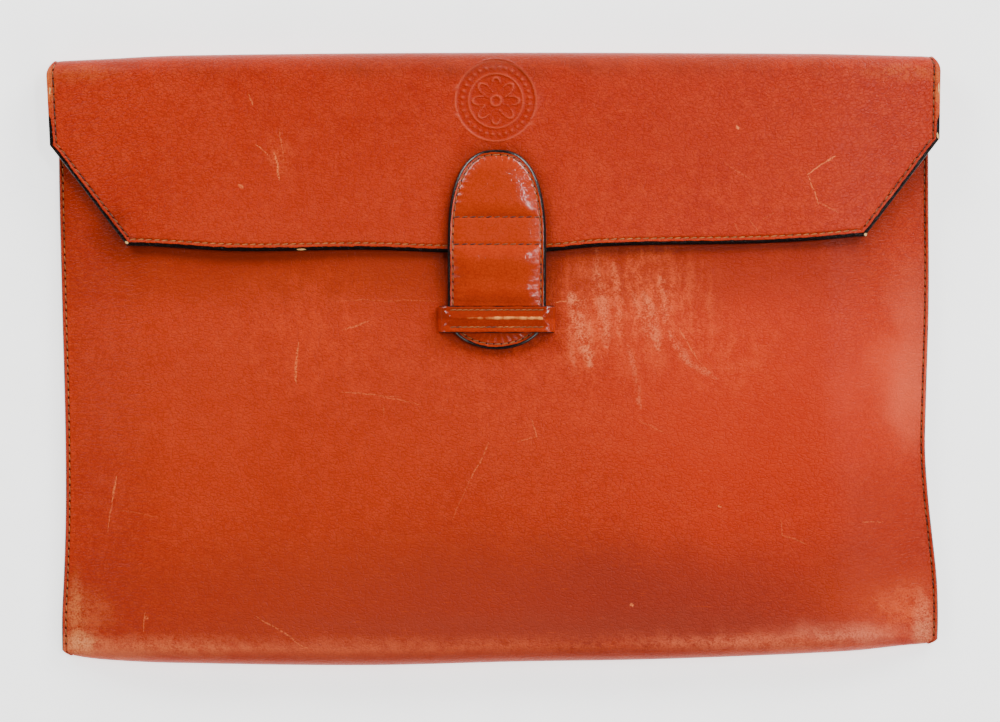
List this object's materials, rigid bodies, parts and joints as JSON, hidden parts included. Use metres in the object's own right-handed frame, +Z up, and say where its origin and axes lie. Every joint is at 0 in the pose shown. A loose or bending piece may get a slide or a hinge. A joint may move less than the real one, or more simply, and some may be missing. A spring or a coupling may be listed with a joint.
{
  "type": "leather document case",
  "caption": "Flat leather document case with a fold-over flap, cut corners, and a padded tab that slips under a keeper loop on the front.",
  "frame": {"origin": "under the middle of the case, on the surface that it lies on", "axes": "+X to the wearer's right as the front is seen, +Y towards the top fold, +Z up out of the front"},
  "size_m": [0.37, 0.254, 0.0226],
  "materials": {
    "tan_hide": "semi-gloss, fine grain",
    "glazed_hide": "glossy, smooth",
    "edge_paint": "glossy, dark",
    "waxed_thread": "waxed, twisted"
  },
  "bodies": {
    "root": {"hide_wrap": "tan_hide", "closure_tab": "glazed_hide", "keeper_loop": "glazed_hide"}
  },
  "joints": []
}
